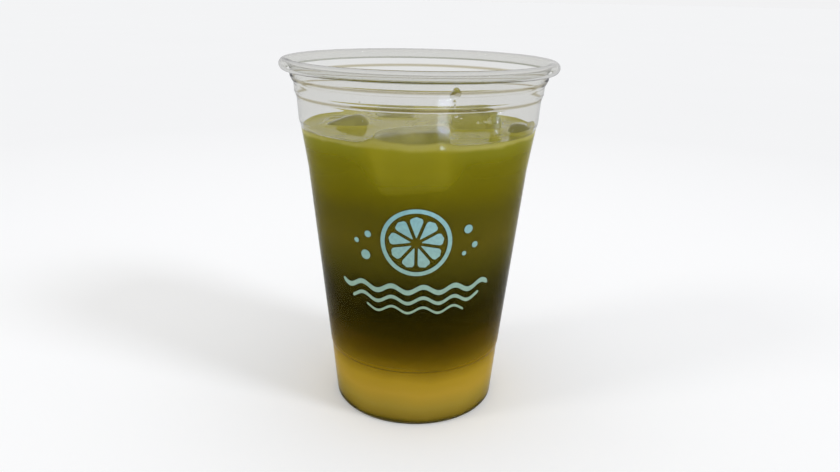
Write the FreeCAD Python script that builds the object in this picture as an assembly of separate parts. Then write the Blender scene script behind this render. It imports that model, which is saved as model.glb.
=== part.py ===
"""Iced matcha lemonade in a clear PET cold cup, millimetres, +Z up.

The origin is the centre of the foot, on the table.  The cup is one thermoformed sheet: a raised
floor, a foot ring, a long cone, stacking bands under the mouth and a rolled rim.  The drink lies
in it as two layers, golden lemonade under green matcha, and five ice cubes break its surface.
"""
import FreeCAD, Part
import math
import os

# ---------------------------------------------------------------- cup, outside sizes
HEIGHT = 126.2            # table to the top of the rolled rim
RIM_D = 95.0              # across the rolled rim
BASE_D = 60.0             # across the foot corner, before it is rounded
WALL = 0.6                # sheet thickness after forming
BEND = 0.5                # inside radius of the sheet at the ledges
ROLL_R = 1.9              # outer radius of the rolled rim
ROLL_SWEEP = 285.0        # degrees that the rim curls through, over the top and under
ROLL_STRETCHES = 3        # arcs that the roll is drawn in

FLOOR_RISE = 3.2          # underside of the floor panel above the table
FLOOR_PANEL_R = 24.5      # floor panel, to its bend
FOOT_IN_R = 26.6          # inner edge of the foot ring
FOOT_BEND = 0.9           # inside radius of the sheet at the foot corner
LOWER_DRAFT = 0.089       # outward lean of the lowest wall, mm for each mm of height
RING_Z = 22.0             # height of the moulded ring
RING_RISE = 1.0           # height of its small ledge
RING_STEP = 0.30          # how far it stands out
SHOULDER_BEND = 30.0      # soft bend where the cone turns into the flare

BAND_DRAFT = 0.07         # outward lean of the stacking bands
# stacking bands from the rim down: height of the band, then width and height of the ledge under it
BANDS = (
    (4.1, 1.10, 2.0),     # neck under the rim
    (2.8, 0.70, 1.8),     # narrow band
    (7.9, 0.50, 1.6),     # tall band
)
FLARE_H = 14.6            # flare between the bands and the cone
FLARE_W = 2.2             # how much wider the flare is at its top

# ---------------------------------------------------------------- drink
FILL_DEPTH = 23.5         # surface of the drink below the top of the rim
LEMONADE_TOP = 26.0       # height at which the golden layer turns green
DRINK_GAP = 0.1           # between the drink and the sheet

# ---------------------------------------------------------------- ice
ICE_EDGE = 23.0           # edge of a fresh cube
ICE_TAPER = 0.86          # a cube's bottom as a share of its top, from its mould
ICE_MELT_R = 3.6          # radius to which its edges have melted
ICE_WALL_GAP = 0.15       # between a cube and the sheet
ICE_FILM = 0.05           # liquid left between a cube and the drink's pocket
# name: turned round the cup, reach from the axis as a share of the surface radius,
# edges as shares of ICE_EDGE, centre above the surface as a share of ICE_EDGE,
# then its turn about its own height and its two tilts, all angles in degrees
ICE = {
    "ice_front": (-93.0, 0.735, (1.16, 0.82, 0.88), -0.235, (0.0, -3.0, 8.0)),
    "ice_left": (170.0, 0.63, (0.92, 0.86, 0.80), -0.29, (14.0, -19.0, 4.0)),
    "ice_middle": (110.0, 0.64, (0.80, 0.74, 0.80), -0.31, (-16.0, 4.0, -5.0)),
    "ice_right": (6.0, 0.49, (0.84, 0.80, 0.92), -0.165, (8.0, 4.0, 4.0)),
    "ice_side": (-8.0, 0.875, (0.76, 0.42, 0.72), -0.22, (-3.0, -4.0, -6.0)),
}

# ---------------------------------------------------------------- worked out from these
FILL_Z = HEIGHT - FILL_DEPTH
ROLL_CENTRE = (RIM_D / 2 - ROLL_R, HEIGHT - ROLL_R)
ROLL_START = math.degrees(math.atan(BAND_DRAFT))    # the neck runs into the roll without a kink


def roll_place(radius, swept):
    """Radius and height of a point of the rolled rim, swept degrees on from its inner side."""
    angle = math.radians(180 - swept)
    return (ROLL_CENTRE[0] + radius * math.cos(angle), ROLL_CENTRE[1] + radius * math.sin(angle))


def cup_corners():
    """Corners of the outer skin from the axis out along the floor and up to the rolled rim."""
    radius, z = roll_place(ROLL_R - WALL, ROLL_START)
    neck = [(radius, z, BEND)]
    for band_h, ledge_w, ledge_h in BANDS:
        radius, z = radius - BAND_DRAFT * band_h, z - band_h
        neck.append((radius, z, BEND))
        radius, z = radius - ledge_w, z - ledge_h
        neck.append((radius, z, BEND))
    neck.append((radius - FLARE_W, z - FLARE_H, SHOULDER_BEND))
    ring_r = BASE_D / 2 + LOWER_DRAFT * RING_Z
    foot = [
        (0.0, FLOOR_RISE, BEND),
        (FLOOR_PANEL_R, FLOOR_RISE, BEND),
        (FOOT_IN_R, 0.0, BEND),
        (BASE_D / 2, 0.0, FOOT_BEND),
        (ring_r, RING_Z, BEND),
        (ring_r + RING_STEP, RING_Z + RING_RISE, BEND),
    ]
    return foot + neck[::-1]


def cross(a, b):
    return a[0] * b[1] - a[1] * b[0]


def direction(a, b):
    length = math.hypot(b[0] - a[0], b[1] - a[1])
    return ((b[0] - a[0]) / length, (b[1] - a[1]) / length)


def skin(corners, inward):
    """The outline moved by inward to the drink side, as corners with the radius of their arcs.

    A corner's bend is the radius on the tight side of the sheet, so the arc is wider on the
    other side: the sheet keeps its thickness all the way.
    """
    ways = [direction(a, b) for a, b in zip(corners, corners[1:])]
    moved = []
    for i, (r, z, bend) in enumerate(corners):
        before, after = ways[max(i - 1, 0)], ways[min(i, len(ways) - 1)]
        half = math.sqrt((1 + before[0] * after[0] + before[1] * after[1]) / 2)
        normal = direction((0, 0), (-before[1] - after[1], before[0] + after[0]))
        to_drink = cross(before, after) > 0
        radius = bend + (WALL - inward if to_drink else inward)
        moved.append((r + normal[0] * inward / half, z + normal[1] * inward / half, radius))
    return moved


def point(r, z):
    return FreeCAD.Vector(r, 0, z)


def line(a, b):
    return Part.LineSegment(point(*a[:2]), point(*b[:2])).toShape()


def outline_edges(corners):
    """Straight runs joined by arcs that touch both of them."""
    edges, start = [], corners[0][:2]
    for before, corner, after in zip(corners, corners[1:], corners[2:]):
        into, out = direction(before, corner), direction(corner, after)
        turn = math.atan2(cross(into, out), into[0] * out[0] + into[1] * out[1])
        reach = corner[2] * math.tan(abs(turn) / 2)
        first = (corner[0] - into[0] * reach, corner[1] - into[1] * reach)
        last = (corner[0] + out[0] * reach, corner[1] + out[1] * reach)
        side = math.copysign(1, turn)
        centre = (first[0] - side * into[1] * corner[2], first[1] + side * into[0] * corner[2])
        bow = direction(centre, corner)
        middle = (centre[0] + bow[0] * corner[2], centre[1] + bow[1] * corner[2])
        edges.append(line(start, first))
        edges.append(Part.Arc(point(*first), point(*middle), point(*last)).toShape())
        start = last
    edges.append(line(start, corners[-1]))
    return edges


def roll_arcs(radius):
    """The rolled rim's arc in equal stretches, each under a half turn."""
    step = (ROLL_SWEEP - ROLL_START) / ROLL_STRETCHES / 2
    stops = [point(*roll_place(radius, ROLL_START + i * step)) for i in range(2 * ROLL_STRETCHES + 1)]
    return [Part.Arc(*stops[i:i + 3]).toShape() for i in range(0, 2 * ROLL_STRETCHES, 2)]


def revolved(edges):
    face = Part.Face(Part.Wire(Part.__sortEdges__(edges)))
    return face.revolve(FreeCAD.Vector(0, 0, 0), FreeCAD.Vector(0, 0, 1), 360)


def make_cup():
    outer, inner = skin(CORNERS, 0.0), skin(CORNERS, WALL)
    tip = line(roll_place(ROLL_R - WALL, ROLL_SWEEP), roll_place(ROLL_R, ROLL_SWEEP))
    axis = line(inner[0], outer[0])
    edges = outline_edges(outer) + roll_arcs(ROLL_R - WALL) + [tip] + roll_arcs(ROLL_R)
    return revolved(edges + outline_edges(inner) + [axis])


def inside_of_cup(gap):
    """The room in the cup up to the rolled rim, clear of the sheet by gap."""
    corners = skin(CORNERS, WALL + gap)
    mouth, floor = corners[-1], corners[0]
    top = (0.0, mouth[1])
    return revolved(outline_edges(corners) + [line(mouth, top), line(top, floor)])


def slab(low, high):
    side = 2 * RIM_D
    return Part.makeBox(side, side, high - low, FreeCAD.Vector(-side / 2, -side / 2, low))


def inner_radius(z):
    """Inner radius of the straight walls at height z."""
    for (r_low, z_low, _), (r_high, z_high, _) in zip(INNER, INNER[1:]):
        if z_low <= z <= z_high:
            return r_low + (r_high - r_low) * (z - z_low) / (z_high - z_low)


def ice_cube(place, grow):
    """A tapered cube with melted edges, floating at its place, grown by grow on every face."""
    around, reach, shares, lift, turns = place
    x, y, z = (share * ICE_EDGE / 2 + grow for share in shares)
    low_x, low_y = x * ICE_TAPER, y * ICE_TAPER
    cube = Part.makeWedge(-low_x, -z, -low_y, -y, -x, low_x, z, low_y, y, x)
    cube = cube.makeFillet(ICE_MELT_R + grow, cube.Edges)
    centre = FreeCAD.Vector(0, 0, 0)
    cube.rotate(centre, FreeCAD.Vector(1, 0, 0), 90)
    cube.rotate(centre, FreeCAD.Vector(0, 0, 1), turns[0])
    cube.rotate(centre, FreeCAD.Vector(1, 0, 0), turns[1])
    cube.rotate(centre, FreeCAD.Vector(0, 1, 0), turns[2])
    cube.rotate(centre, FreeCAD.Vector(0, 0, 1), around - 90)
    angle, radius = math.radians(around), reach * inner_radius(FILL_Z)
    cube.translate(FreeCAD.Vector(radius * math.cos(angle), radius * math.sin(angle),
                                  FILL_Z + lift * ICE_EDGE))
    return cube


def make_ice():
    """Each cube, flattened where it leans on the sheet or on a cube before it."""
    room, cubes, pockets = inside_of_cup(ICE_WALL_GAP), {}, []
    for name, place in ICE.items():
        cube = ice_cube(place, 0.0).common(room)
        for pocket in pockets:
            cube = cube.cut(pocket)
        cubes[name] = cube
        pockets.append(ice_cube(place, ICE_FILM))
    return cubes, pockets


def make_drink(pockets):
    """The two layers, face to face, with a pocket round each cube."""
    room = inside_of_cup(DRINK_GAP)
    matcha = room.common(slab(LEMONADE_TOP, FILL_Z))
    for pocket in pockets:
        matcha = matcha.cut(pocket)
    return {"lemonade": room.common(slab(0.0, LEMONADE_TOP)), "matcha": matcha}


def save(nodes):
    os.makedirs("parts", exist_ok=True)
    for name, shape in nodes.items():
        solids = shape.Solids
        print(f"{name:12s} solids {len(solids)}  volume {shape.Volume / 1000:8.2f} cm3  valid {shape.isValid()}")
        solids[0].exportStep(f"parts/{name}.step")


CORNERS = cup_corners()
INNER = skin(CORNERS, WALL)

if __name__ == "__main__":
    cubes, pockets = make_ice()
    save({"cup": make_cup(), **make_drink(pockets), **cubes})
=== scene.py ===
# %% [markdown]
# # Iced matcha lemonade in a clear cup
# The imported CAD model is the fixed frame: a thermoformed cup, two layers of drink and five ice
# cubes. This notebook gives it its looks. The cup and the drink are turned again on a lathe, from
# the cup's own section, with enough steps that light bends through them smoothly. The ice is
# melted a little. The front print and a few drops of water are added.

# %% The frame
import math

import bpy
from mathutils import Matrix, Vector
from mathutils.bvhtree import BVHTree


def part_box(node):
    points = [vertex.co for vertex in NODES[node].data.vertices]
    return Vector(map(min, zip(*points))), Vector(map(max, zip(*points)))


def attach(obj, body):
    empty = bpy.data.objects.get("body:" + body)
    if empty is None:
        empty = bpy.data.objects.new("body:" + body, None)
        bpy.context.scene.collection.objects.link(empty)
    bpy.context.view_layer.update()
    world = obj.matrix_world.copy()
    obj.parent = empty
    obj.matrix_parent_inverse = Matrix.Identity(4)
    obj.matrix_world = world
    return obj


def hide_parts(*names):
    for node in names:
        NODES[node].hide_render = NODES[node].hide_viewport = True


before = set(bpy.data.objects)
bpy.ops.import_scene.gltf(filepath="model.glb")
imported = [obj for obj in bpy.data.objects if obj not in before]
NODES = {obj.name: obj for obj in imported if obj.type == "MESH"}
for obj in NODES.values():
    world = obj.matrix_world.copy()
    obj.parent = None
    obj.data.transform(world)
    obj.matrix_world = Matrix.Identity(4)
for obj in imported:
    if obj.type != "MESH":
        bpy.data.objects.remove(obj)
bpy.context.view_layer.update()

MM = 0.001
print("frame:", sorted(NODES))

# %% [markdown]
# ## Colours and nodes
# Colours are written as the hex values that a colour picker shows. Shaders work in linear light,
# so one function turns them. A noise is sized by how far apart its features are. One function
# adds any shader node, with its settings, values and links.

# %% Colour and node helpers
def linear(hex_colour):
    """Linear RGBA of an sRGB hex colour."""
    shown = [int(hex_colour[i:i + 2], 16) / 255 for i in (1, 3, 5)]
    light = [c / 12.92 if c <= 0.04045 else ((c + 0.055) / 1.055) ** 2.4 for c in shown]
    return (*light, 1.0)


def noise_scale(width):
    """The scale of a noise whose features are about this far apart, in metres."""
    return 1 / width


def node(tree, kind, values=(), links=(), stops=(), **settings):
    """Adds a node: its own settings, its input values, what feeds its inputs, and a ramp's stops."""
    made = tree.nodes.new(kind)
    for name, value in settings.items():
        setattr(made, name, value)
    for name, value in dict(values).items():
        made.inputs[name].default_value = value
    for name, source in dict(links).items():
        tree.links.new(source, made.inputs[name])
    if stops:
        ramp = made.color_ramp
        while len(ramp.elements) < len(stops):
            ramp.elements.new(0.5)
        for element, (place, colour) in zip(ramp.elements, stops):
            element.position, element.color = place, colour
    return made


def new_material(name):
    """A new material and its empty node tree."""
    material = bpy.data.materials.new(name)
    material.use_nodes = True
    material.node_tree.nodes.clear()
    return material, material.node_tree


print("mid grey is", [round(c, 3) for c in linear("#808080")])

# %% [markdown]
# ## Camera
# The eye stands a quarter of a metre in front of the cup and just above its rim, and looks down
# into its mouth. A short lens that near makes the cup narrow strongly towards its foot.

# %% Camera
EYE = Vector((0.0, -0.24471, 0.14564))
LOOK_DOWN, LOOK_RIGHT, LEAN = 18.91, 0.31, 1.16  # degrees
LENS, SENSOR = 29.83, 36.0                       # mm
camera_data = bpy.data.cameras.new("camera")
camera_data.lens, camera_data.sensor_width = LENS, SENSOR
camera_data.clip_start, camera_data.clip_end = 0.01, 100.0
camera = bpy.data.objects.new("camera", camera_data)
camera.matrix_world = (
    Matrix.Translation(EYE)
    @ Matrix.Rotation(math.radians(-LOOK_RIGHT), 4, "Z")
    @ Matrix.Rotation(math.radians(90 - LOOK_DOWN), 4, "X")
    @ Matrix.Rotation(math.radians(LEAN), 4, "Z")
)
bpy.context.scene.collection.objects.link(camera)
bpy.context.scene.camera = camera
print("camera at", [round(v, 4) for v in EYE], "lens", LENS)

# %% [markdown]
# ## Table
# A pale table runs out to a pale sky, so that clear plastic has something light behind it. It is
# a plain disc, wide enough that its edge lies on the horizon. Near the cup it is painted white, a
# painted pool of light that lifts the shade round the cup; further off it is a shade darker, with
# a faint, wide unevenness.

# %% Table paint
# the near colour is painted light, a whiter pool round the cup; the others are the table's own tones
TABLE_PAINTED_LIGHT_NEAR, TABLE_FAR, TABLE_PATCH = "#ffffff", "#f5f5f5", "#f3f3f3"
NEAR_TO, FAR_FROM = 0.1, 0.6  # metres from the cup
TABLE_GRAIN = 333 * MM        # from patch to patch


def dress(piece, material):
    """Gives a piece one material."""
    piece.data.materials.clear()
    piece.data.materials.append(material)
    print(piece.name, "is", material.name)


def table_paint():
    material, tree = new_material("satin painted table")
    place = node(tree, "ShaderNodeTexCoord").outputs["Object"]
    grain = node(tree, "ShaderNodeTexNoise", {"Scale": noise_scale(TABLE_GRAIN), "Detail": 3.0},
                 {"Vector": place})
    away = node(tree, "ShaderNodeVectorMath", {}, {0: place}, operation="LENGTH")
    away = node(tree, "ShaderNodeMapRange", {"From Min": NEAR_TO, "From Max": FAR_FROM},
                {"Value": away.outputs["Value"]})
    tone = node(tree, "ShaderNodeMix", {6: linear(TABLE_FAR), 7: linear(TABLE_PATCH)},
                {"Factor": grain.outputs["Fac"]}, data_type="RGBA")
    # painted light: the table turns whiter towards the cup
    tone = node(tree, "ShaderNodeMix", {6: linear(TABLE_PAINTED_LIGHT_NEAR)},
                {"Factor": away.outputs[0], 7: tone.outputs[2]}, data_type="RGBA")
    paint = node(tree, "ShaderNodeBsdfDiffuse", {}, {"Color": tone.outputs[2]})
    node(tree, "ShaderNodeOutputMaterial", {}, {"Surface": paint.outputs[0]})
    return material


print("the table fades from", TABLE_PAINTED_LIGHT_NEAR, "to", TABLE_FAR)

# %% Table
TABLE_RADIUS = 40.0


def deselect():
    """Leaves edit mode and selects nothing."""
    if bpy.context.object and bpy.context.object.mode != "OBJECT":
        bpy.ops.object.mode_set(mode="OBJECT")
    bpy.ops.object.select_all(action="DESELECT")


deselect()
bpy.ops.mesh.primitive_circle_add(vertices=64, radius=TABLE_RADIUS, fill_type="NGON")
table = bpy.context.object
table.name = "table"
dress(table, table_paint())
print("table", 2 * TABLE_RADIUS, "m wide")

# %% [markdown]
# ## Sky
# The sky lights the cup softly from all round. It does two jobs that need two strengths: it
# lights matt surfaces at a plain level, and it is the pale background that the camera sees, also
# in a mirror and through glass. A Light Path node tells the two apart.

# %% Sky
SKY_COLOUR = "#f2f2f3"
SKY_LIGHT = 0.79


def make_sky():
    """Plain light for the object, and a pale colour where the camera or glass sees it."""
    world = bpy.data.worlds.new("soft studio")
    bpy.context.scene.world = world
    world.use_nodes = True
    tree = world.node_tree
    tree.nodes.clear()
    ray = node(tree, "ShaderNodeLightPath").outputs
    seen = node(tree, "ShaderNodeMath", {}, {0: ray["Is Camera Ray"], 1: ray["Is Glossy Ray"]},
                operation="MAXIMUM")
    seen = node(tree, "ShaderNodeMath", {}, {0: seen.outputs[0], 1: ray["Is Transmission Ray"]},
                operation="MAXIMUM")
    light = node(tree, "ShaderNodeBackground", {"Color": linear("#ffffff"), "Strength": SKY_LIGHT})
    shown = node(tree, "ShaderNodeBackground", {"Color": linear(SKY_COLOUR), "Strength": 1.0})
    both = node(tree, "ShaderNodeMixShader", {},
                {0: seen.outputs[0], 1: light.outputs[0], 2: shown.outputs[0]})
    node(tree, "ShaderNodeOutputWorld", {}, {"Surface": both.outputs[0]})


make_sky()
print("sky lights at", SKY_LIGHT)

# %% [markdown]
# ## Lamps
# Two wide lamps give the cup a side: a window on the right, whose shadow falls to the left, and a
# weaker fill on the left. They are sun lamps, so they are equally strong all over the table.
# Refracted rays don't see them, because clear, bent surfaces would turn their few bright hits
# into grain. With the sky they light the table at the level where its colour shows as written.

# %% Lamps
LAMP_WIDTH = 14.0  # degrees across, as seen from the cup
LAMPS = {
    # name: where it stands from the cup, strength, colour
    "window": ((4.8, -2.6, 3.35), 0.95, "#f2f6ff"),
    "fill": ((-4.2, -1.7, 2.6), 0.40, "#ffffff"),
}


def make_lamp(name, place, strength, colour):
    """A wide, soft light that shines from far off, on the side where place lies."""
    data = bpy.data.lights.new(name, "SUN")
    data.angle = math.radians(LAMP_WIDTH)
    data.energy = strength
    data.color = linear(colour)[:3]
    lamp = bpy.data.objects.new(name, data)
    lamp.matrix_world = Vector(place).to_track_quat("Z", "Y").to_matrix().to_4x4()
    lamp.visible_transmission = False
    bpy.context.scene.collection.objects.link(lamp)


for name, lamp_values in LAMPS.items():
    make_lamp(name, *lamp_values)
print("lamps:", *LAMPS)

# %% [markdown]
# ## Window panes
# A room is seen in a glossy cup as small bright windows. Two small panes stand low in front of
# the cup, each where the wall mirrors it to the eye. Only mirrored rays see them, so they add
# a pale shine to plastic, water and ice, and no light to anything else.

# %% Window panes
PANE_TINT = "#cfe4ff"
PANES = {
    # name: where it stands, the spot on the wall that it faces, width and height, watts
    "pane_middle": ((0.051, -0.147, 0.073), (0.0073, -0.0412, 0.110), (0.028, 0.012), 0.26),
    "pane_right": ((0.137, -0.059, 0.076), (0.024, -0.0345, 0.109), (0.008, 0.010), 0.08),
}


def make_pane(name, place, aim, size, power):
    """A small window at a place, facing the spot on the wall that it is mirrored in."""
    data = bpy.data.lights.new(name, "AREA")
    data.shape = "RECTANGLE"
    data.size, data.size_y = size
    data.energy = power
    data.color = linear(PANE_TINT)[:3]
    pane = bpy.data.objects.new(name, data)
    turn = (Vector(place) - Vector(aim)).to_track_quat("Z", "Y").to_matrix().to_4x4()
    pane.matrix_world = Matrix.Translation(place) @ turn
    pane.visible_camera = pane.visible_diffuse = pane.visible_transmission = False
    bpy.context.scene.collection.objects.link(pane)


for name, pane_values in PANES.items():
    make_pane(name, *pane_values)
print("panes:", *PANES)

# %% [markdown]
# ## The cup's section
# The cup is one PET sheet, formed over a mould, so one line drawn through it says all of its
# shape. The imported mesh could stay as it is, but its long, narrow faces would show as streaks in
# clear plastic, so only its line is used. A copy is merged and bisected along a radius until just
# the cut is left. Its points are then put in order, from the axis along the outside, over the
# rolled rim and back down the inside.

# %% Pick and copy
MERGE = 0.001 * MM  # points nearer than this are one point


def pick(*pieces):
    """Selects these pieces alone, with the first one active."""
    deselect()
    for piece in pieces:
        piece.select_set(True)
    bpy.context.view_layer.objects.active = pieces[0]


def merged_copy(source, name):
    """A copy of a CAD node whose loose triangles are joined."""
    made = bpy.data.objects.new(name, source.data.copy())
    bpy.context.scene.collection.objects.link(made)
    made.data.materials.clear()
    pick(made)
    bpy.ops.object.mode_set(mode="EDIT")
    bpy.ops.mesh.select_all(action="SELECT")
    bpy.ops.mesh.remove_doubles(threshold=MERGE)
    bpy.ops.object.mode_set(mode="OBJECT")
    return made


print("points merge within", MERGE / MM, "mm")

# %% Cut the cup along a radius
ON_PLANE = 0.0001 * MM  # points nearer than this lie on the plane of a cut


def section_of(source):
    """(radius, height) along the cut through a turned node, in order from the lower axis point."""
    cut = merged_copy(source, "section")
    bpy.ops.object.mode_set(mode="EDIT")
    for axis, one_side in ((Vector((0, 1, 0)), True), (Vector((1, 0, 0)), False)):
        bpy.ops.mesh.select_all(action="SELECT")
        bpy.ops.mesh.bisect(plane_co=(0, 0, 0), plane_no=axis, clear_inner=True,
                            clear_outer=one_side, threshold=ON_PLANE)
    bpy.ops.object.mode_set(mode="OBJECT")
    beside = {}
    for edge in cut.data.edges:
        for a, b in (edge.vertices, reversed(edge.vertices)):
            beside.setdefault(a, []).append(b)
    ends = [v for v in beside if len(beside[v]) == 1]
    order = [min(ends, key=lambda v: cut.data.vertices[v].co.z)]
    while True:
        onward = [v for v in beside[order[-1]] if v not in order[-2:]]
        if not onward:
            break
        order.append(onward[0])
    places = [cut.data.vertices[v].co for v in order]
    points = [(max(place.x, 0.0), place.z) for place in places]
    bpy.data.objects.remove(cut)
    return points


SECTION = section_of(NODES["cup"])
RIM_TOP = max(range(len(SECTION)), key=lambda i: SECTION[i][1])
print("section of", len(SECTION), "points")

# %% [markdown]
# ## Ease the inside of the ledges
# The mould shapes one side of the sheet; on the other side, the corners of a ledge come out
# rounder, because the sheet thins and flows there. That roundness is what spreads each ledge
# into a soft line of light and dark. A Bevel modifier would give every corner the same round, so
# the inner skin of the stacking bands is drawn again in even steps instead, and each point
# becomes a weighted mean of its neighbours along the line.

# %% Ease the inside of the ledges
EASE = 0.35 * MM  # how far the ease reaches along the sheet
EASE_STEP = 0.15 * MM
EASE_WIDEST = round(3 * EASE / EASE_STEP)  # steps; past three reaches a neighbour hardly counts
BANDS_FROM, BANDS_TO = 111 * MM, 122.5 * MM


def evenly(points, step):
    """Points about step apart along a line, with its two ends."""
    lengths = [0.0]
    for a, b in zip(points, points[1:]):
        lengths.append(lengths[-1] + math.dist(a, b))
    count = round(lengths[-1] / step)
    made, k = [], 0
    for i in range(count + 1):
        at = lengths[-1] * i / count
        while k < len(points) - 2 and lengths[k + 1] < at:
            k += 1
        part = (at - lengths[k]) / (lengths[k + 1] - lengths[k])
        made.append(tuple(a + (b - a) * part for a, b in zip(points[k], points[k + 1])))
    return made


def eased(points):
    """The line with its corners rounded by averaging along it, least at its two ends."""
    rounded = []
    for i in range(len(points)):
        reach = min(i, len(points) - 1 - i, EASE_WIDEST)
        shares = {j: math.exp(-0.5 * (j * EASE_STEP / EASE) ** 2) for j in range(-reach, reach + 1)}
        total = sum(shares.values())
        rounded.append(tuple(sum(points[i + j][axis] * share for j, share in shares.items()) / total
                             for axis in (0, 1)))
    return rounded


packed_inside = SECTION[RIM_TOP:]
above = [p for p in packed_inside if p[1] > BANDS_TO]
bands = [p for p in packed_inside if BANDS_FROM <= p[1] <= BANDS_TO]
below = [p for p in packed_inside if p[1] < BANDS_FROM]
OUTER_SKIN = SECTION[:RIM_TOP]
INNER_SKIN = above + eased(evenly(bands, EASE_STEP)) + below
SECTION = OUTER_SKIN + INNER_SKIN
print("section with eased ledges:", len(SECTION), "points")

# %% [markdown]
# ## Turning
# A round cup could be made by a Screw modifier or on a lathe, and Blender's Spin is the lathe. The
# line is made as bare edges in the XZ plane and spun a full turn. The doubles at the seam and on
# the axis are merged, and the normals recalculated, because Spin can leave them facing in.

# %% Turn the cup
SMOOTH_ANGLE = math.radians(40)  # edges that bend more than this stay sharp
CUP_STEPS = 160


def turned(name, outline, steps):
    """The solid that a line of (radius, height) points sweeps round Z."""
    mesh = bpy.data.meshes.new(name)
    points = [(r, 0, z) for r, z in outline]
    mesh.from_pydata(points, [(i, i + 1) for i in range(len(points) - 1)], [])
    made = bpy.data.objects.new(name, mesh)
    bpy.context.scene.collection.objects.link(made)
    pick(made)
    bpy.ops.object.mode_set(mode="EDIT")
    bpy.ops.mesh.select_all(action="SELECT")
    bpy.ops.mesh.spin(steps=steps, angle=math.tau, center=(0, 0, 0), axis=(0, 0, 1))
    bpy.ops.mesh.select_all(action="SELECT")
    bpy.ops.mesh.remove_doubles(threshold=MERGE)
    bpy.ops.mesh.normals_make_consistent(inside=False)
    bpy.ops.object.mode_set(mode="OBJECT")
    bpy.ops.object.shade_smooth_by_angle(angle=SMOOTH_ANGLE)
    print(name, len(made.data.vertices), "points", len(made.data.polygons), "faces")
    return made


cup = turned("cup_sheet", SECTION, CUP_STEPS)

# %% [markdown]
# ## Where the sheet looks different
# Two places on the sheet aren't plainly clear. The curl of the rim ends in a cut edge, which the
# cutter leaves frosted: left clear, it would show as a black line. Along the ledges the sheet is
# painted a little greyer all round, a painted shade for the dark lines that the bent sheet draws
# there by turning light aside. The cut edge is measured: it is the
# longest straight run of the roll.

# %% Find the cut edge
ROLL_FROM, ROLL_ABOVE = 44.5 * MM, 121 * MM  # radius and height beyond which the roll lies
LEDGES = (119.8 * MM, 114.4 * MM)            # middles of the two upper stacking ledges
LEDGE_REACH = 0.8 * MM
TIP_REACH = 0.28 * MM
runs = zip(SECTION, SECTION[1:])
roll = [run for run in runs if all(r > ROLL_FROM and z > ROLL_ABOVE for r, z in run)]
TIP_ENDS = max(roll, key=lambda run: math.dist(*run))
TIP = tuple((a + b) / 2 for a, b in zip(*TIP_ENDS))
print("cut edge at", [round(v / MM, 2) for v in TIP], "wide", round(math.dist(*TIP_ENDS) / MM, 2))

# %% [markdown]
# ## Clear PET
# Thermoformed PET is clear, glossy and about half a millimetre thick. Seen flat on it only greys
# what is behind it a little. Seen along the sheet, at the ledges, the roll and the silhouette,
# the light runs a long way inside it and draws the thin dark lines that give a clear cup its
# shape; that grey comes from plain absorption in the sheet. A Principled shader could be the
# plastic, but it mirrors a pale room too strongly, so refraction and gloss are mixed by hand.
# Light that reaches the drink passes the sheet unbent, in a clear branch for shadow and diffuse
# rays. Sheet drawn over a mould is never quite even, so a wide, shallow bump makes its glints
# waver.

# %% What the sheet does with light
PET_INDEX = 1.45
PET_MIRROR = 2.0  # above 1, weak mirroring gets weaker
# the ledge colour is painted shade, greyer along the two ledges
PET_TINT, LEDGE_PAINTED_SHADE = "#f7f7f6", "#dedacb"
PET_DEPTH, PET_DENSITY = "#d2d0cb", 120.0
CUT_FROST = "#dcdcd8"
PET_PASSED = "#f4f5f4"  # what light keeps of itself in the clear branch
DRAW_WIDTH, DRAW_DEPTH = 16.667 * MM, 0.4 * MM  # the waves that drawing leaves in the sheet


def unbent_for(tree, shader, colour, kinds):
    """The shader, but clear and unbent for these kinds of ray."""
    clear = node(tree, "ShaderNodeBsdfTransparent", {"Color": linear(colour)})
    ray = node(tree, "ShaderNodeLightPath").outputs
    for kind in kinds:
        shader = node(tree, "ShaderNodeMixShader", {},
                      {0: ray[kind], 1: shader.outputs[0], 2: clear.outputs[0]})
    return shader


def nearest_ledge(tree, height):
    """How far a point is from the nearer of the two ledges."""
    gaps = []
    for ledge in LEDGES:
        gap = node(tree, "ShaderNodeMath", {1: ledge}, {0: height}, operation="SUBTRACT")
        gap = node(tree, "ShaderNodeMath", {}, {0: gap.outputs[0]}, operation="ABSOLUTE")
        gaps.append(gap.outputs[0])
    return node(tree, "ShaderNodeMath", {}, {0: gaps[0], 1: gaps[1]}, operation="MINIMUM")


def at_cut_edge(tree, parts):
    """1 at the cut edge of the rim's curl, else 0."""
    level = node(tree, "ShaderNodeCombineXYZ", {}, {"X": parts["X"], "Y": parts["Y"]})
    radius = node(tree, "ShaderNodeVectorMath", {}, {0: level.outputs[0]}, operation="LENGTH")
    at_radius = node(tree, "ShaderNodeMath", {1: TIP[0], 2: TIP_REACH}, {0: radius.outputs["Value"]},
                     operation="COMPARE")
    at_height = node(tree, "ShaderNodeMath", {1: TIP[1], 2: TIP_REACH}, {0: parts["Z"]},
                     operation="COMPARE")
    return node(tree, "ShaderNodeMath", {}, {0: at_radius.outputs[0], 1: at_height.outputs[0]},
                operation="MULTIPLY")


print("PET index", PET_INDEX, "density", PET_DENSITY)

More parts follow.
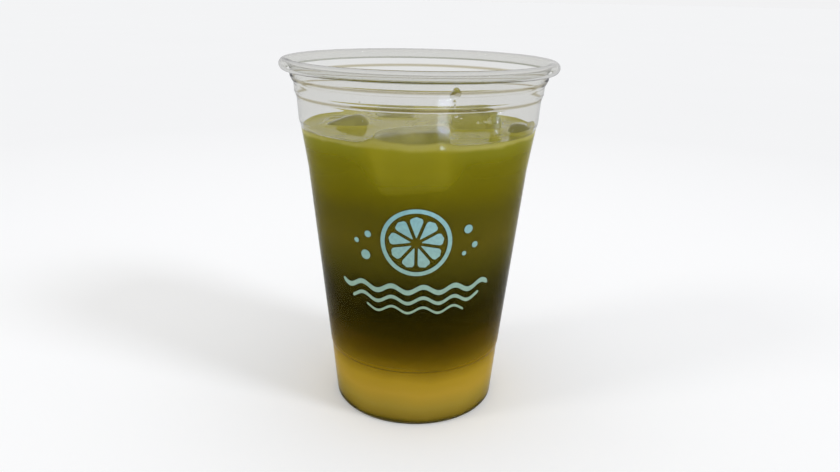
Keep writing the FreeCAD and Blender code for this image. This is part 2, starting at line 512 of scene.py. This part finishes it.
# %% PET material
def clear_pet():
    material, tree = new_material("PET sheet, thermoformed")
    place = node(tree, "ShaderNodeTexCoord").outputs["Object"]
    parts = node(tree, "ShaderNodeSeparateXYZ", {}, {0: place}).outputs
    draw = node(tree, "ShaderNodeTexNoise",
                {"Scale": noise_scale(DRAW_WIDTH), "Detail": 2.0, "Roughness": 0.4},
                {"Vector": place})
    bump = node(tree, "ShaderNodeBump", {"Strength": 0.012, "Distance": DRAW_DEPTH},
                {"Height": draw.outputs["Fac"]})
    # painted shade: the sheet greys towards each ledge
    on_ledge = node(tree, "ShaderNodeMapRange",
                    {"From Min": 0.0, "From Max": LEDGE_REACH, "To Min": 1.0, "To Max": 0.0},
                    {"Value": nearest_ledge(tree, parts["Z"]).outputs[0]},
                    interpolation_type="SMOOTHSTEP")
    tint = node(tree, "ShaderNodeMix", {6: linear(PET_TINT), 7: linear(LEDGE_PAINTED_SHADE)},
                {"Factor": on_ledge.outputs[0]}, data_type="RGBA")
    bent = node(tree, "ShaderNodeBsdfRefraction", {"Roughness": 0.0, "IOR": PET_INDEX},
                {"Color": tint.outputs[2], "Normal": bump.outputs["Normal"]})
    gloss = node(tree, "ShaderNodeBsdfGlossy", {"Roughness": 0.03},
                 {"Normal": bump.outputs["Normal"]})
    mirror = node(tree, "ShaderNodeFresnel", {"IOR": PET_INDEX}, {"Normal": bump.outputs["Normal"]})
    mirror = node(tree, "ShaderNodeMath", {1: PET_MIRROR}, {0: mirror.outputs[0]},
                  operation="POWER")
    sheet = node(tree, "ShaderNodeMixShader", {},
                 {0: mirror.outputs[0], 1: bent.outputs[0], 2: gloss.outputs[0]})
    frosted = node(tree, "ShaderNodeBsdfDiffuse", {"Color": linear(CUT_FROST)})
    sheet = node(tree, "ShaderNodeMixShader", {},
                 {0: at_cut_edge(tree, parts).outputs[0], 1: sheet.outputs[0],
                  2: frosted.outputs[0]})
    both = unbent_for(tree, sheet, PET_PASSED, ("Is Diffuse Ray", "Is Shadow Ray"))
    inside = node(tree, "ShaderNodeVolumeAbsorption",
                  {"Color": linear(PET_DEPTH), "Density": PET_DENSITY})
    node(tree, "ShaderNodeOutputMaterial", {},
         {"Surface": both.outputs[0], "Volume": inside.outputs[0]})
    return material


dress(cup, clear_pet())
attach(cup, "root")
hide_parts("cup")

# %% [markdown]
# ## Ice
# The cubes have floated long enough to lose their corners. A rounded box could stand for each, but
# then it would no longer fit its pocket. So each packed cube is copied, rebuilt into small even
# faces by a voxel remesh, smoothed, and dented by a soft noise that only cuts inward, so that no
# cube grows into the wall or its neighbour.

# %% Melt the cubes
ICE_NAMES = sorted(name for name in NODES if name.startswith("ice"))
ICE_FACE = 0.55 * MM       # size of the small faces
ICE_ROUNDS = 40            # rounds of smoothing
ICE_MORE_ROUNDS = {"ice_left": 110}
ICE_DENT = 0.9 * MM        # deepest melt dent
ICE_DENT_WIDTH = 9.0 * MM  # from dent to dent
melt = bpy.data.textures.new("melt", "CLOUDS")
melt.noise_scale, melt.noise_depth = ICE_DENT_WIDTH, 1


def applied(made, kind, **settings):
    """Adds a modifier and applies it."""
    pick(made)
    modifier = made.modifiers.new(kind.lower(), kind)
    for name, value in settings.items():
        setattr(modifier, name, value)
    bpy.ops.object.modifier_apply(modifier=modifier.name)


def melted_cube(name):
    cube = merged_copy(NODES[name], name + "_melted")
    rounds = ICE_MORE_ROUNDS.get(name, ICE_ROUNDS)
    applied(cube, "REMESH", mode="VOXEL", voxel_size=ICE_FACE)
    applied(cube, "SMOOTH", factor=0.7, iterations=rounds)
    applied(cube, "DISPLACE", texture=melt, texture_coords="LOCAL", strength=ICE_DENT, mid_level=1.0)
    bpy.ops.object.shade_smooth()
    print(cube.name, len(cube.data.polygons), "faces")
    return cube


ice = {name: melted_cube(name) for name in ICE_NAMES}

# %% [markdown]
# ## The drink's outline
# The drink fills the cup to the wall with no air between, so its outline is the inner skin of
# the sheet, moved a little way into it. Two pieces, one for each layer, would show the face
# between them, so both layers are one piece and the colour changes with height. The rings lie
# closer beside the ice and near the shore, where the surface will be bent.

# %% Turn the drink
INTO_WALL = 0.2 * MM
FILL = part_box("matcha")[1].z
DRINK_STEPS = 240
CLOSE_FROM = 72 * MM   # above this height rings lie 1 mm apart, beside the ice
RING_APART = 0.3 * MM  # a new ring keeps this far from those of the skin
# how far in from the shore the rings near it lie, in mm
SHORE_RINGS = (0.25, 0.55, 0.9, 1.3, 1.8, 2.4, 3.1, 3.9, 4.8, 5.8)
MIDDLE_RINGS = 30  # from the last of the shore's rings to the axis


def moved_out(points, distance):
    """The line moved square to itself, to its right, but never past the axis."""
    moved = []
    for i, (r, z) in enumerate(points):
        before, after = points[max(i - 1, 0)], points[min(i + 1, len(points) - 1)]
        along = Vector((after[0] - before[0], after[1] - before[1])).normalized()
        moved.append((max(r + along.y * distance, 0.0), z - along.x * distance))
    return moved


def wall_radius(z, skin=INNER_SKIN):
    """Radius of one skin of the cup at a height above the floor panel."""
    for (r_a, z_a), (r_b, z_b) in zip(skin, skin[1:]):
        if min(z_a, z_b) <= z <= max(z_a, z_b) and z_a != z_b:
            return r_a + (r_b - r_a) * (z - z_a) / (z_b - z_a)
    raise ValueError(f"no wall at {z}")


wet_skin = [p for p in INNER_SKIN if p[1] < FILL]
beside_ice = [p for p in wet_skin if p[1] > CLOSE_FROM]
below_ice = [p for p in wet_skin if p[1] <= CLOSE_FROM]
rings = [k * MM for k in range(round(CLOSE_FROM / MM) + 1, int(FILL / MM))]
rings = [z for z in rings if all(abs(z - p[1]) > RING_APART for p in beside_ice)]
beside_ice = sorted(beside_ice + [(wall_radius(z), z) for z in rings], key=lambda p: -p[1])
wall_line = moved_out([(wall_radius(FILL), FILL)] + beside_ice + below_ice, -INTO_WALL)
wall_line[-1] = (0.0, wall_line[-1][1])
shore = wall_line[0][0]
surface_line = [(shore - inward * MM, FILL) for inward in SHORE_RINGS]
reach = surface_line[-1][0]
surface_line += [(reach * (1 - k / MIDDLE_RINGS), FILL) for k in range(1, MIDDLE_RINGS + 1)]
drink = turned("drink", wall_line[::-1] + surface_line, DRINK_STEPS)
print("fill height", round(FILL / MM, 2), "wall radius there", round(wall_radius(FILL) / MM, 2))

# %% [markdown]
# ## Draw the surface up
# Water wets plastic and ice, so the drink climbs the wall by about a millimetre and each cube by
# less, and the rise dies away within two or three millimetres. Where a cube almost touches the
# wall, the narrow gap draws it up several millimetres. Each point of the surface is lifted by how
# near it lies to the wall and to the ice. A search tree over the cubes' faces says how far the
# ice is.

# %% Draw the surface up
CLIMB = 1.3 * MM           # on a clean wall
CLIMB_ICE = 0.5 * MM       # on a cube
CLIMB_GAP = 3.6 * MM       # more, between a cube and the wall
FADE = 1.5 * MM            # how fast a climb dies away
GAP_FADE = 0.7 * FADE
UNDER_SURFACE = 0.01 * MM  # points lower than this below the fill stay


def ice_distance(point):
    return min(tree.find_nearest(point)[3] for tree in ice_trees)


def lift_surface(made):
    highest = 0.0
    for vertex in made.data.vertices:
        if vertex.co.z < FILL - UNDER_SURFACE:
            continue
        radius = math.hypot(vertex.co.x, vertex.co.y)
        from_wall = max(shore - radius, 0.0)
        from_ice = ice_distance(vertex.co)
        at_wall = math.exp(-from_wall / FADE)
        lift = CLIMB * at_wall + CLIMB_ICE * math.exp(-from_ice / FADE)
        lift += CLIMB_GAP * math.exp(-(from_wall + from_ice) / GAP_FADE)
        highest = max(highest, lift)
        if radius > 0:
            wider = wall_radius(FILL + lift) - wall_radius(FILL)
            grow = 1 + wider / shore * at_wall
            vertex.co.x *= grow
            vertex.co.y *= grow
        vertex.co.z += lift
    print("surface climbs to", round(highest / MM, 2), "mm")


bpy.context.view_layer.update()
evaluated = bpy.context.evaluated_depsgraph_get()
ice_trees = [BVHTree.FromObject(cube, evaluated) for cube in ice.values()]
lift_surface(drink)

# %% [markdown]
# ## Pockets for the ice
# A cube that floats pushes the drink aside, and that shows: light has less drink to cross there.
# So each cube is cut out of the drink. The cutter is a hair smaller than the cube, so that ice
# and drink overlap, as drink and wall do, and no film of air lies between them.

# %% Cut the pockets
POCKET_OVERLAP = 0.1 * MM


def shrunk_copy(source, distance):
    made = bpy.data.objects.new("cutter", source.data.copy())
    bpy.context.scene.collection.objects.link(made)
    applied(made, "DISPLACE", strength=-distance, mid_level=0.0)
    return made


for cube in ice.values():
    cutter = shrunk_copy(cube, POCKET_OVERLAP)
    applied(drink, "BOOLEAN", operation="DIFFERENCE", object=cutter, solver="MANIFOLD")
    bpy.data.objects.remove(cutter)
pick(drink)
bpy.ops.object.shade_smooth_by_angle(angle=SMOOTH_ANGLE)
print("drink with pockets:", len(drink.data.polygons), "faces")

# %% [markdown]
# ## Where ice lights the drink
# Clear ice carries daylight down beside the wall, so the thin layer of drink in front of a cube
# glows yellower than the rest. That glow is painted light in the drink's colour. A shader can't
# measure how far the ice is, so each point of the drink keeps two numbers for it: how near the
# ice is, fading with depth, and whether the point is the wall of a cube's pocket.

# %% Where ice lights the drink
# the painted glow from the ice: how deep it reaches, and over which heights it comes in
GLOW_DEPTH = 2.2 * MM   # how much drink the ice's light gets through
GLOW_FROM = 86 * MM     # the glow starts at this height
GLOW_RISE = 8 * MM      # and is full this much higher
GLOW_INSIDE = 0.5       # off the wall, and on the surface
WALL_REACH = 0.3 * MM   # a point this near the wall is on it
POCKET_GAP = 0.25 * MM  # a point this near the ice is a pocket's wall


def mark_near_ice(made):
    for name in ("near_ice", "pocket"):
        made.data.attributes.new(name, "FLOAT", "POINT")
    near = made.data.attributes["near_ice"].data
    pocket = made.data.attributes["pocket"].data
    for vertex, glow, wet in zip(made.data.vertices, near, pocket):
        x, y, z = vertex.co
        if z <= CLOSE_FROM:
            continue
        gap = ice_distance(vertex.co)
        wet.value = 1.0 if gap < POCKET_GAP else 0.0
        on_wall = math.hypot(x, y) > wall_radius(min(z, FILL)) - WALL_REACH
        height = min(max((z - GLOW_FROM) / GLOW_RISE, 0.0), 1.0)
        glow.value = math.exp(-gap / GLOW_DEPTH) * height if on_wall and z < FILL else GLOW_INSIDE
    print("points on pocket walls:", sum(wet.value > 0 for wet in pocket))


mark_near_ice(drink)

# %% [markdown]
# ## The drink's colours
# Lemonade is golden; stone-ground matcha hangs in it as a green haze, thickest in the middle of
# the cup and thinner at the top, where melting ice dilutes it. The colours are read off at
# heights up the cup, each with the share of light that the drink lets through there. They hold
# painted light as well: the haze is painted lighter towards the top, where light falls in from
# above, and bright gold low down, where light shines through the lemonade, and the dark middle
# band is painted a little lighter to stand for its glowing edges. The palest stops at the very
# top are partly a thin film at the shore and partly a painted reflection of the bright room.
# Just above the floor panel the colour darkens again.

# %% The drink's colours
# the drink's own colours with painted light in them, lighter to the top and bright gold low down
DRINK_COLOURS_AND_PAINTED_LIGHT = (
    # height in mm, colour, see-through share
    (1.2, "#5e5112", 0.25),
    (2.6, "#9a822c", 0.25),
    (7.0, "#bba03e", 0.25),
    (13.0, "#d4ae3d", 0.25),
    (18.0, "#cea930", 0.28),
    (24.0, "#9d7d16", 0.38),
    (28.0, "#7a610c", 0.46),
    (32.0, "#634d07", 0.50),
    (37.0, "#3f3403", 0.46),
    (45.0, "#252102", 0.38),
    (54.0, "#3f3b0e", 0.40),
    (63.0, "#635c17", 0.40),
    (70.0, "#766b1d", 0.40),
    (80.0, "#726918", 0.40),
    (87.0, "#8a8011", 0.40),
    (97.0, "#9b9218", 0.40),
    (101.8, "#a8a42e", 0.36),
    (102.6, "#cec662", 0.30),
    (104.0, "#d5cc7e", 0.30),
)
DRINK_TOP = DRINK_COLOURS_AND_PAINTED_LIGHT[-1][0] * MM
# painted light: the drink lit yellower where clear ice lies just behind it
ICE_PAINTED_LIGHT = "#b9ae22"       # the drink where clear ice lies just behind it
# painted light: the drink behind a cube, lighter where light comes through the ice
POCKET_PAINTED_LIGHT = "#c2ba5e"  # the drink seen through a cube
POCKET_SHARE = 0.4         # how much of the see-through share is left there
# painted shade: a thin dark line in the drink at the moulded ring's ledge
RING_LEDGE = 22.6 * MM     # the moulded ring's ledge bends light past the drink:
RING_REACH = 0.28 * MM     # a thin, faint dark line
RING_PAINTED_SHADE, RING_SHARE = "#3c2c05", 0.28
print(len(DRINK_COLOURS_AND_PAINTED_LIGHT), "colours up to", round(DRINK_TOP / MM), "mm")

# %% [markdown]
# ## The drink's look
# Volume scatter could make the haze, but it takes very many samples. So the haze is a matt
# surface whose colour runs with height. A share of the light passes it, softly bent, and is
# absorbed on its way, so that the middle is deep and the edges glow. A slow noise lets the
# layers waver. Only the open surface mirrors, because below it the wall does that.

# %% Level in the drink
CLOUD_WIDTH = 22.222 * MM  # from cloud to cloud
WAVER = 0.008              # how far the layers waver, as a share of the height


def up_the_drink(tree, place, height):
    """Height as a share of the drink's, wavering a little from place to place."""
    cloud = node(tree, "ShaderNodeTexNoise",
                 {"Scale": noise_scale(CLOUD_WIDTH), "Detail": 3.0, "Roughness": 0.5,
                  "Distortion": 0.6}, {"Vector": place})
    waver = node(tree, "ShaderNodeMapRange",
                 {"From Min": 0.3, "From Max": 0.7, "To Min": -WAVER, "To Max": WAVER},
                 {"Value": cloud.outputs["Fac"]})
    level = node(tree, "ShaderNodeMath", {1: 1 / DRINK_TOP}, {0: height}, operation="MULTIPLY")
    return node(tree, "ShaderNodeMath", {}, {0: level.outputs[0], 1: waver.outputs[0]},
                operation="ADD")


print("layers waver by", round(WAVER * DRINK_TOP / MM, 2), "mm")

# %% Colour and clearness
def drink_colour(tree, level, height, pocket):
    """The colour of the layers, with their painted light, then the ice's painted glow,
    the pockets' painted light and the moulded ring's painted dark line.
    """
    layers = node(tree, "ShaderNodeValToRGB", {}, {"Fac": level.outputs[0]},
                  [(z * MM / DRINK_TOP, linear(colour)) for z, colour, _ in DRINK_COLOURS_AND_PAINTED_LIGHT])
    near = node(tree, "ShaderNodeAttribute", attribute_name="near_ice")
    lit = node(tree, "ShaderNodeMix", {7: linear(ICE_PAINTED_LIGHT)},
               {"Factor": near.outputs["Fac"], 6: layers.outputs[0]}, data_type="RGBA")
    lit = node(tree, "ShaderNodeMix", {7: linear(POCKET_PAINTED_LIGHT)},
               {"Factor": pocket, 6: lit.outputs[2]}, data_type="RGBA")
    ring = node(tree, "ShaderNodeMath", {1: RING_LEDGE, 2: RING_REACH}, {0: height},
                operation="COMPARE")
    ring = node(tree, "ShaderNodeMath", {1: RING_SHARE}, {0: ring.outputs[0]},
                operation="MULTIPLY")
    return node(tree, "ShaderNodeMix", {7: linear(RING_PAINTED_SHADE)},
                {"Factor": ring.outputs[0], 6: lit.outputs[2]}, data_type="RGBA")


def see_through(tree, level, pocket):
    """The share of light that passes the haze: less of it where a cube's pocket shows."""
    share = node(tree, "ShaderNodeValToRGB", {}, {"Fac": level.outputs[0]},
                 [(z * MM / DRINK_TOP, (t, t, t, 1)) for z, _, t in DRINK_COLOURS_AND_PAINTED_LIGHT])
    left = node(tree, "ShaderNodeMapRange", {"To Min": 1.0, "To Max": POCKET_SHARE},
                {"Value": pocket})
    return node(tree, "ShaderNodeMath", {}, {0: share.outputs[0], 1: left.outputs[0]},
                operation="MULTIPLY")


print("clearest share:", max(share for _, _, share in DRINK_COLOURS_AND_PAINTED_LIGHT))

# %% Drink material
DRINK_INDEX = 1.34
DRINK_DEPTH, DRINK_DENSITY = "#d3cb00", 130.0
OPEN_FROM = FILL - 0.5 * MM  # the open surface starts here


def drink_material():
    material, tree = new_material("matcha lemonade, cloudy drink")
    place = node(tree, "ShaderNodeTexCoord").outputs["Object"]
    height = node(tree, "ShaderNodeSeparateXYZ", {}, {0: place}).outputs["Z"]
    pocket = node(tree, "ShaderNodeAttribute", attribute_name="pocket").outputs["Fac"]
    level = up_the_drink(tree, place, height)
    haze = node(tree, "ShaderNodeBsdfPrincipled", {"Roughness": 0.6, "Specular IOR Level": 0.0},
                {"Base Color": drink_colour(tree, level, height, pocket).outputs[2]})
    bent = node(tree, "ShaderNodeBsdfRefraction",
                {"Color": linear("#ffffff"), "Roughness": 0.08, "IOR": DRINK_INDEX})
    body = node(tree, "ShaderNodeMixShader", {},
                {0: see_through(tree, level, pocket).outputs[0], 1: haze.outputs[0],
                 2: bent.outputs[0]})
    is_open = node(tree, "ShaderNodeMapRange", {"From Min": OPEN_FROM, "From Max": FILL},
                   {"Value": height})
    mirror = node(tree, "ShaderNodeFresnel", {"IOR": DRINK_INDEX})
    mirror = node(tree, "ShaderNodeMath", {}, {0: mirror.outputs[0], 1: is_open.outputs[0]},
                  operation="MULTIPLY")
    gloss = node(tree, "ShaderNodeBsdfGlossy", {"Roughness": 0.03})
    body = node(tree, "ShaderNodeMixShader", {},
                {0: mirror.outputs[0], 1: body.outputs[0], 2: gloss.outputs[0]})
    inside = node(tree, "ShaderNodeVolumeAbsorption",
                  {"Color": linear(DRINK_DEPTH), "Density": DRINK_DENSITY})
    node(tree, "ShaderNodeOutputMaterial", {},
         {"Surface": body.outputs[0], "Volume": inside.outputs[0]})
    return material


dress(drink, drink_material())
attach(drink, "root")
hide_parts("lemonade", "matcha")

# %% [markdown]
# ## The ice's look
# Ice from a machine is clear, with a little milk where air was trapped as it froze, and it is
# wet, so it has small, sharp glints. The glass comes from a Principled shader with full
# transmission at the index of ice. The milk is a pale matt share that follows a noise of about a
# centimetre. Its yellow-olive tint is painted light, the drink's colour that the ice carries from
# around it. As with the sheet, shadow and diffuse rays pass it unbent.

# %% Ice material
ICE_INDEX = 1.31
# the milk's yellow-olive tint is painted light from the drink round the ice
ICE_TINT, ICE_MILK_WITH_PAINTED_LIGHT = "#fbfcfa", "#ddd690"
ICE_PASSED = "#f2f4f0"
LEAST_MILK, MOST_MILK = 0.07, 0.32
MILK_WIDTH = 9.091 * MM  # from cloud to cloud
RIPPLE_WIDTH, RIPPLE_DEPTH = 2.857 * MM, 0.6 * MM


def wet_ice():
    material, tree = new_material("melting ice, wet")
    place = node(tree, "ShaderNodeTexCoord").outputs["Object"]
    ripple = node(tree, "ShaderNodeTexNoise",
                  {"Scale": noise_scale(RIPPLE_WIDTH), "Detail": 2.0, "Roughness": 0.5},
                  {"Vector": place})
    bump = node(tree, "ShaderNodeBump", {"Strength": 0.25, "Distance": RIPPLE_DEPTH},
                {"Height": ripple.outputs["Fac"]})
    body = node(tree, "ShaderNodeBsdfPrincipled",
                {"Base Color": linear(ICE_TINT), "Roughness": 0.03, "IOR": ICE_INDEX,
                 "Transmission Weight": 1.0}, {"Normal": bump.outputs["Normal"]})
    core = node(tree, "ShaderNodeTexNoise",
                {"Scale": noise_scale(MILK_WIDTH), "Detail": 3.0, "Roughness": 0.6},
                {"Vector": place})
    milk = node(tree, "ShaderNodeMapRange",
                {"From Min": 0.35, "From Max": 0.7, "To Min": LEAST_MILK, "To Max": MOST_MILK},
                {"Value": core.outputs["Fac"]})
    air = node(tree, "ShaderNodeBsdfDiffuse", {"Color": linear(ICE_MILK_WITH_PAINTED_LIGHT)})
    body = node(tree, "ShaderNodeMixShader", {},
                {0: milk.outputs[0], 1: body.outputs[0], 2: air.outputs[0]})
    body = unbent_for(tree, body, ICE_PASSED, ("Is Diffuse Ray", "Is Shadow Ray"))
    node(tree, "ShaderNodeOutputMaterial", {}, {"Surface": body.outputs[0]})
    return material


ICE_LOOK = wet_ice()
for name, cube in ice.items():
    dress(cube, ICE_LOOK)
    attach(cube, "root")
    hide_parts(name)

# %% [markdown]
# ## Print
# Cold cups are screen printed before they are stacked: one pale teal ink, a few hundredths of a
# millimetre thick, on the front of the cone. The motif here is a plain one, a citrus wheel over
# three waves with bubbles beside it. A masked colour in the sheet's own material could draw it,
# but real shapes stay sharp from near by. Each is a flat grid whose points are moved by a small
# formula, drawn in millimetres along the wall and up it.

# %% Shapes from a grid
def patch(columns, rows, place):
    """A flat grid; place(u, v) gives each point's position in millimetres, u and v from 0 to 1."""
    deselect()
    bpy.ops.mesh.primitive_grid_add(x_subdivisions=columns, y_subdivisions=rows, size=1.0)
    made = bpy.context.object
    for vertex in made.data.vertices:
        x, z = place(vertex.co.x + 0.5, vertex.co.y + 0.5)
        vertex.co = (x * MM, 0.0, z * MM)
    return made


def polar(centre, angle, radius):
    return (centre[0] + radius * math.sin(angle), centre[1] + radius * math.cos(angle))


def ring_shape(centre, radius, width):
    return patch(72, 1, lambda u, v: polar(centre, math.tau * u, radius - width * (1 - v)))


def disc_shape(centre, radius):
    return patch(20, 2, lambda u, v: polar(centre, math.tau * u, radius * v))


def joined(pieces, name):
    """All the pieces as one, under this name."""
    pick(*pieces)
    bpy.ops.object.join()
    bpy.context.object.name = name
    return bpy.context.object


print("shapes: ring, disc")

# %% [markdown]
# ## Draw the motif
# A segment of the wheel is a wedge with a straight gap to the next one and round shoulders. A
# wave is a strip along a sine, with round ends. With the wheel's peel and the bubbles, all are
# joined into one flat sheet of ink.

# %% Sizes of the motif
WHEEL = (0.0, 72.0)   # centre of the wheel: along the wall, up the cup
WHEEL_R = 11.6
PEEL = 1.4            # width of the wheel's outer ring
HUB, PITH = 1.9, 1.2  # bare middle, and bare ring inside the peel
SEGMENTS = 9
MEMBRANE = 0.55       # half the gap between two segments
SHOULDER = 0.72       # share of its length after which a segment narrows
SEGMENT_END = 0.02    # half angle left at its end, so that no face is closed
# each wave's height, half width and stroke
WAVES = ((55.2, 28.0, 1.8), (51.2, 24.0, 1.3), (47.6, 18.0, 0.9))
WAVE_LENGTH, WAVE_HEIGHT = 11.0, 1.1
WAVE_END = 0.05  # share of the stroke left at its ends
# each bubble's place along the wall and up the cup, and its radius
BUBBLES = (
    (-17.2, 66.4, 1.7), (-16.0, 73.8, 1.15), (-20.4, 71.0, 0.9),
    (17.0, 76.0, 1.5), (20.0, 70.2, 1.1), (16.2, 67.6, 0.8),
)
print("wheel", 2 * WHEEL_R, "mm wide")

# %% Draw the motif
def segment_shape(number):
    last = WHEEL_R - PEEL - PITH

    def place(u, v):
        radius = HUB + (last - HUB) * v
        half = math.pi / SEGMENTS - MEMBRANE / radius
        shoulder = 1 - max(0.0, (v - SHOULDER) / (1 - SHOULDER)) ** 2.4
        half *= max(shoulder, 0.0) ** 0.5 if v < 1 else SEGMENT_END
        return polar(WHEEL, math.tau * number / SEGMENTS + half * (2 * u - 1), radius)
    return patch(8, 14, place)


def wave_shape(height, half_width, stroke):
    def place(u, v):
        x = half_width * (2 * u - 1)
        to_end = (half_width - abs(x)) / (stroke / 2)
        round_end = math.sqrt(max(1 - (1 - min(to_end, 1)) ** 2, 0.0))
        middle = height + WAVE_HEIGHT * math.sin(math.tau * x / WAVE_LENGTH)
        return (x, middle + stroke * (v - 0.5) * max(round_end, WAVE_END))
    return patch(110, 1, place)


shapes = [ring_shape(WHEEL, WHEEL_R, PEEL)] + [segment_shape(k) for k in range(SEGMENTS)]
shapes += [wave_shape(*wave) for wave in WAVES]
shapes += [disc_shape((x, z), radius) for x, z, radius in BUBBLES]
motif = joined(shapes, "front_print")
print("print:", len(motif.data.polygons), "faces")

# %% [markdown]
# ## Lay the print round the cone
# A screen printer turns the cup under the screen, so the motif keeps its width along the wall. A
# point's distance from the middle becomes an angle, and its height picks the radius of the outer
# skin. The doubles where rings close and discs meet are merged, the faces are turned outward,
# and Solidify gives the ink its thickness.

# %% Lay it round the cone
INK = 0.06 * MM        # thickness of the ink
PRINT_OFF = 0.03 * MM  # clear of the sheet
INK_MERGE = 0.004 * MM


def wrap(made, height):
    """Bends the flat sheet round the cup, at a height above its outer skin."""
    turning_radius = wall_radius(WHEEL[1] * MM, OUTER_SKIN)
    for vertex in made.data.vertices:
        along, z = vertex.co.x, vertex.co.z
        radius = wall_radius(z, OUTER_SKIN) + height
        angle = along / turning_radius
        vertex.co = (radius * math.sin(angle), -radius * math.cos(angle), z)


wrap(motif, PRINT_OFF)
pick(motif)
bpy.ops.object.mode_set(mode="EDIT")
bpy.ops.mesh.select_all(action="SELECT")
bpy.ops.mesh.remove_doubles(threshold=INK_MERGE)
bpy.ops.mesh.normals_make_consistent(inside=False)
bpy.ops.object.mode_set(mode="OBJECT")
front = max(motif.data.polygons, key=lambda face: face.area)
if front.normal.dot(Vector((front.center.x, front.center.y, 0))) < 0:
    motif.data.flip_normals()
applied(motif, "SOLIDIFY", thickness=INK, offset=1.0)
print("print spans", [round(v / MM, 1) for v in motif.dimensions])

# %% [markdown]
# ## The ink's look
# Screen ink dries matt and is a little thinner where the threads of the screen stood. Its teal
# turns greener towards the bottom. The threads stand closer than the eye can tell apart, so
# their marks are drawn coarser, as a fine noise in tone and in bump.

# %% Ink material
INK_LOW, INK_HIGH = "#8ca58c", "#78aab0"
INK_FROM, INK_TO = 46 * MM, 84 * MM  # heights between which the ink changes
THREAD_MARKS = 1.111 * MM            # drawn this far apart
THREAD_DEPTH = 0.03 * MM


def print_ink():
    material, tree = new_material("screen print ink, matte")
    place = node(tree, "ShaderNodeTexCoord").outputs["Object"]
    height = node(tree, "ShaderNodeSeparateXYZ", {}, {0: place}).outputs["Z"]
    level = node(tree, "ShaderNodeMapRange", {"From Min": INK_FROM, "From Max": INK_TO},
                 {"Value": height})
    tone = node(tree, "ShaderNodeMix", {6: linear(INK_LOW), 7: linear(INK_HIGH)},
                {"Factor": level.outputs[0]}, data_type="RGBA")
    marks = node(tree, "ShaderNodeTexNoise", {"Scale": noise_scale(THREAD_MARKS), "Detail": 2.0},
                 {"Vector": place})
    thin = node(tree, "ShaderNodeMapRange",
                {"From Min": 0.35, "From Max": 0.65, "To Min": 0.88, "To Max": 1.06},
                {"Value": marks.outputs["Fac"]})
    ink = node(tree, "ShaderNodeHueSaturation", {},
               {"Value": thin.outputs[0], "Color": tone.outputs[2]})
    bump = node(tree, "ShaderNodeBump", {"Strength": 0.15, "Distance": THREAD_DEPTH},
                {"Height": marks.outputs["Fac"]})
    body = node(tree, "ShaderNodeBsdfPrincipled", {"Roughness": 0.5, "Specular IOR Level": 0.35},
                {"Base Color": ink.outputs[0], "Normal": bump.outputs["Normal"]})
    node(tree, "ShaderNodeOutputMaterial", {}, {"Surface": body.outputs[0]})
    return material


dress(motif, print_ink())
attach(motif, "root")

# %% [markdown]
# ## Water drops
# Condensed water hangs on the wall as one heavy drop under the neck, with a trail of small beads
# below it. Metaballs would flow together, but here every bead stays by itself. Each is half of a
# UV sphere, its points laid on the wall by their place along it, out from it and up it; the flat
# side sinks a little into the sheet. The drops are one mesh.

# %% Drops on the wall
DROP_SINK = 0.06 * MM
DROP_TAPER = 0.25  # how much narrower a drop is at its top, wider at its bottom
DROPS = (
    # degrees round from the front, height on the cup, then width, height and bulge in mm
    (14.0, 119.8, 3.2, 3.6, 1.6),
    (13.9, 117.3, 1.0, 1.0, 0.5),
    (14.2, 116.1, 0.5, 1.2, 0.25),
    (14.5, 114.5, 0.4, 1.4, 0.2),
    (15.2, 113.0, 1.1, 0.9, 0.4),
    (17.3, 112.4, 0.9, 0.6, 0.35),
    (22.6, 114.7, 1.7, 0.7, 0.4),
    (-24.0, 116.2, 0.5, 0.6, 0.25),
    (38.0, 110.0, 0.5, 0.7, 0.25),
)


def drop(turn, up, width, tall, bulge):
    """Half a ball on the outer skin, heavier below."""
    deselect()
    bpy.ops.mesh.primitive_uv_sphere_add(segments=20, ring_count=12, radius=1.0)
    made = bpy.context.object
    for vertex in made.data.vertices:
        along = vertex.co.x * width / 2 * (1 - DROP_TAPER * vertex.co.z)
        out = -vertex.co.y * bulge
        z = (up + vertex.co.z * tall / 2) * MM
        radius = wall_radius(z, OUTER_SKIN) + (out * MM if out > 0 else -DROP_SINK)
        angle = math.radians(turn) + along * MM / radius
        vertex.co = (radius * math.sin(angle), -radius * math.cos(angle), z)
    return made


water = joined([drop(*place) for place in DROPS], "water_drops")
bpy.ops.object.shade_smooth()
print("drops:", len(water.data.polygons), "faces")

# %% [markdown]
# ## The water's look
# Clear water bends light a little less than PET does and mirrors it sharply, so a drop turns the
# scene behind it upside down: dark at its top, bright at its bottom.

# %% Water material
WATER_INDEX = 1.33
WATER_TINT, WATER_PASSED = "#fdfdfc", "#fafafa"


def clear_water():
    material, tree = new_material("water, clear")
    bent = node(tree, "ShaderNodeBsdfRefraction",
                {"Color": linear(WATER_TINT), "Roughness": 0.0, "IOR": WATER_INDEX})
    gloss = node(tree, "ShaderNodeBsdfGlossy", {"Roughness": 0.02})
    mirror = node(tree, "ShaderNodeFresnel", {"IOR": WATER_INDEX})
    body = node(tree, "ShaderNodeMixShader", {},
                {0: mirror.outputs[0], 1: bent.outputs[0], 2: gloss.outputs[0]})
    body = unbent_for(tree, body, WATER_PASSED, ("Is Shadow Ray",))
    node(tree, "ShaderNodeOutputMaterial", {}, {"Surface": body.outputs[0]})
    return material


dress(water, clear_water())
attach(water, "root")

# %% [markdown]
# ## Light paths
# A ray that grazes the rolled rim crosses the sheet many times. With too few turns it ends
# black, so every kind of clear or mirrored path gets a generous limit.

# %% Light paths
RAY_TURNS = 32
paths = bpy.context.scene.cycles
paths.max_bounces = paths.transmission_bounces = paths.glossy_bounces = RAY_TURNS
print("rays may turn", RAY_TURNS, "times")

# %% [markdown]
# ## Colour view
# The picture is shown through the Standard view transform.

# %% Colour view
bpy.context.scene.view_settings.view_transform = "Standard"
